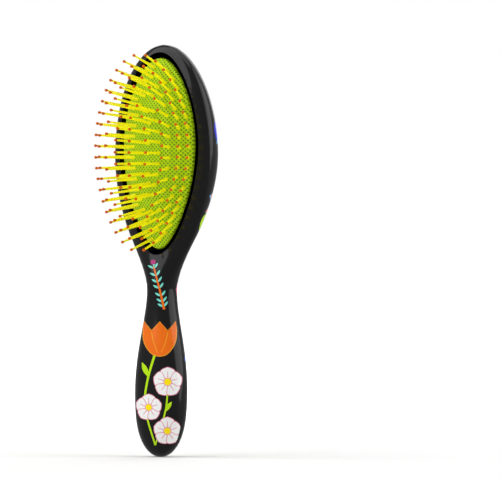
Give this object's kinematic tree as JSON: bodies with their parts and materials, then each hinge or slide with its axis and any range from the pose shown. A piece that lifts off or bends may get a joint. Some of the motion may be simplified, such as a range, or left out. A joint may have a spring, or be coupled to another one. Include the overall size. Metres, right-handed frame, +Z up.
{
  "type": "cushion hairbrush",
  "caption": "Large oval cushion hairbrush: hollow two-shell body, domed air cushion, oval rings of ball-tipped pins that sink with the cushion.",
  "frame": {"origin": "on the surface under the tail, below the middle of the whole brush's box", "axes": "+Z up the handle to the tip of the head, -Y out of the cushion along the pins, +X to the right seen from the pins' side"},
  "size_m": [0.0716, 0.052, 0.24],
  "materials": {
    "lacquered_shell": "gloss black moulded plastic with a printed flower pattern under clear lacquer",
    "carrier_plastic": "plain moulded, hidden inside",
    "cushion_rubber": "lime green moulded rubber with a fine woven texture",
    "pin_nylon": "yellow moulded nylon with dipped orange ball tips"
  },
  "bodies": {
    "brush_body": {"front_shell": "lacquered_shell", "back_shell": "lacquered_shell", "cushion_carrier": "carrier_plastic", "air_cushion": "cushion_rubber"},
    "centre_pins": {"pin_centre_1": "pin_nylon", "pin_centre_2": "pin_nylon", "pin_centre_3": "pin_nylon", "pin_centre_4": "pin_nylon", "pin_centre_5": "pin_nylon", "pin_centre_6": "pin_nylon", "pin_centre_7": "pin_nylon", "pin_centre_8": "pin_nylon", "pin_centre_9": "pin_nylon"},
    "inner_ring_pins": {"pins_inner_01": "pin_nylon", "pins_inner_02": "pin_nylon", "pins_inner_03": "pin_nylon", "pins_inner_04": "pin_nylon", "pins_inner_05": "pin_nylon", "pins_inner_06": "pin_nylon", "pins_inner_07": "pin_nylon", "pins_inner_08": "pin_nylon", "pins_inner_09": "pin_nylon"},
    "third_ring_pins": {"pins_third_01": "pin_nylon", "pins_third_02": "pin_nylon", "pins_third_03": "pin_nylon", "pins_third_04": "pin_nylon", "pins_third_05": "pin_nylon", "pins_third_06": "pin_nylon", "pins_third_07": "pin_nylon"},
    "second_ring_pins": {"pins_second_01": "pin_nylon", "pins_second_02": "pin_nylon", "pins_second_03": "pin_nylon", "pins_second_04": "pin_nylon", "pins_second_05": "pin_nylon", "pins_second_06": "pin_nylon", "pins_second_07": "pin_nylon", "pins_second_08": "pin_nylon", "pins_second_09": "pin_nylon"},
    "outer_ring_pins": {"pins_outer_01": "pin_nylon", "pins_outer_02": "pin_nylon", "pins_outer_03": "pin_nylon", "pins_outer_04": "pin_nylon", "pins_outer_05": "pin_nylon", "pins_outer_06": "pin_nylon", "pins_outer_07": "pin_nylon", "pins_outer_08": "pin_nylon", "pins_outer_09": "pin_nylon", "pins_outer_10": "pin_nylon"}
  },
  "joints": [
    {"name": "cushion_press", "type": "slide", "parent": "brush_body", "child": "centre_pins", "axis": [0, 1, 0], "range_m": [0, 0.004], "stiffness_N_per_m": 1200, "deforming": ["air_cushion"]},
    {"name": "inner_ring_press", "type": "slide", "parent": "brush_body", "child": "inner_ring_pins", "axis": [0, 1, 0], "range_m": [0, 0.0035]},
    {"name": "third_ring_press", "type": "slide", "parent": "brush_body", "child": "third_ring_pins", "axis": [0, 1, 0], "range_m": [0, 0.0026]},
    {"name": "second_ring_press", "type": "slide", "parent": "brush_body", "child": "second_ring_pins", "axis": [0, 1, 0], "range_m": [0, 0.0018]},
    {"name": "outer_ring_press", "type": "slide", "parent": "brush_body", "child": "outer_ring_pins", "axis": [0, 1, 0], "range_m": [0, 0.0008]}
  ],
  "couplings": [
    {"joint": "inner_ring_press", "follows": "cushion_press", "ratio": 0.86},
    {"joint": "third_ring_press", "follows": "cushion_press", "ratio": 0.63},
    {"joint": "second_ring_press", "follows": "cushion_press", "ratio": 0.43},
    {"joint": "outer_ring_press", "follows": "cushion_press", "ratio": 0.185}
  ]
}
